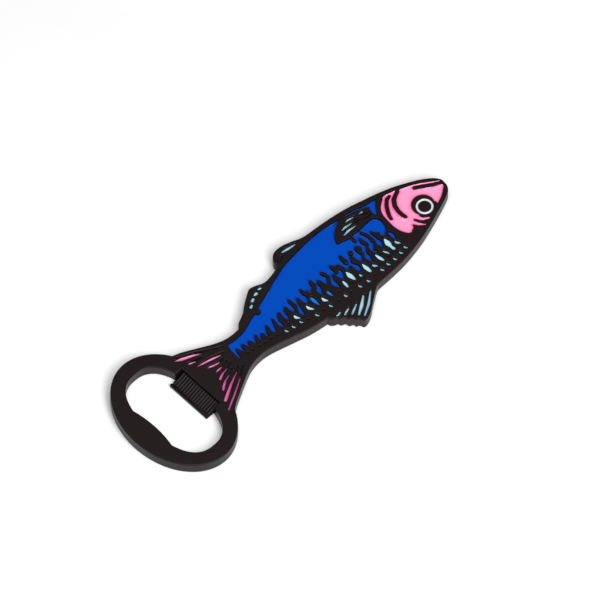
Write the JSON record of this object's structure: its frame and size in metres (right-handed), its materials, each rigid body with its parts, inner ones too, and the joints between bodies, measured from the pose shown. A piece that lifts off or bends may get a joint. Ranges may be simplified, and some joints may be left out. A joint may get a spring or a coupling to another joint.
{
  "type": "souvenir bottle opener",
  "caption": "Flat fish-shaped crown cap opener: a cast body whose tail grows out of an oval ring with a ribbed tongue, with coloured enamel in the recesses of one face.",
  "frame": {"origin": "centre of the back's bounding rectangle, on the plane that the opener rests on", "axes": "+X from the opener ring to the snout, +Y towards the fish's back, +Z out of the decorated face"},
  "size_m": [0.1347, 0.0454, 0.0044],
  "materials": {
    "black_coated_casting": "satin black electrocoat over cast zinc alloy",
    "blue_enamel": "smooth cured enamel, low gloss",
    "azure_enamel": "smooth cured enamel",
    "aqua_enamel": "smooth cured enamel",
    "pink_enamel": "smooth cured enamel",
    "rose_enamel": "smooth cured enamel",
    "white_enamel": "smooth cured enamel"
  },
  "bodies": {
    "root": {"casting": "black_coated_casting", "flank_enamel": "blue_enamel", "shoulder_enamel": "blue_enamel", "head_enamel": "pink_enamel", "eye_enamel": "white_enamel", "dorsal_fin_enamel": "aqua_enamel", "blue_pocket_1": "blue_enamel", "blue_pocket_2": "azure_enamel", "blue_pocket_3": "azure_enamel", "tail_ray_1": "rose_enamel", "tail_ray_2": "rose_enamel", "tail_ray_3": "rose_enamel", "tail_ray_4": "rose_enamel", "tail_ray_5": "rose_enamel", "tail_ray_6": "rose_enamel", "tail_ray_7": "rose_enamel", "tail_ray_8": "rose_enamel", "tail_ray_9": "rose_enamel", "pectoral_ray_1": "aqua_enamel", "pectoral_ray_2": "aqua_enamel", "pectoral_ray_3": "aqua_enamel", "pectoral_ray_4": "aqua_enamel", "pelvic_ray_1": "aqua_enamel", "pelvic_ray_2": "aqua_enamel", "pelvic_ray_3": "aqua_enamel", "pelvic_ray_4": "aqua_enamel", "pelvic_ray_5": "aqua_enamel", "back_fin_drop_1": "aqua_enamel", "back_fin_drop_2": "aqua_enamel", "back_fin_drop_3": "aqua_enamel", "back_fin_drop_4": "aqua_enamel", "large_scale_1": "aqua_enamel", "large_scale_2": "aqua_enamel", "large_scale_3": "aqua_enamel", "large_scale_4": "aqua_enamel", "large_scale_5": "aqua_enamel", "large_scale_6": "aqua_enamel", "large_scale_7": "aqua_enamel", "large_scale_8": "aqua_enamel", "middle_scale_1": "aqua_enamel", "middle_scale_2": "aqua_enamel", "middle_scale_3": "aqua_enamel", "middle_scale_4": "aqua_enamel", "belly_scale_1": "aqua_enamel", "belly_scale_2": "aqua_enamel", "belly_scale_3": "aqua_enamel", "belly_scale_4": "aqua_enamel", "belly_scale_5": "aqua_enamel", "belly_scale_6": "aqua_enamel", "belly_scale_7": "aqua_enamel", "belly_scale_8": "aqua_enamel", "belly_scale_9": "aqua_enamel", "belly_scale_10": "aqua_enamel", "belly_scale_11": "aqua_enamel", "belly_scale_12": "aqua_enamel", "belly_scale_13": "aqua_enamel"}
  },
  "joints": []
}
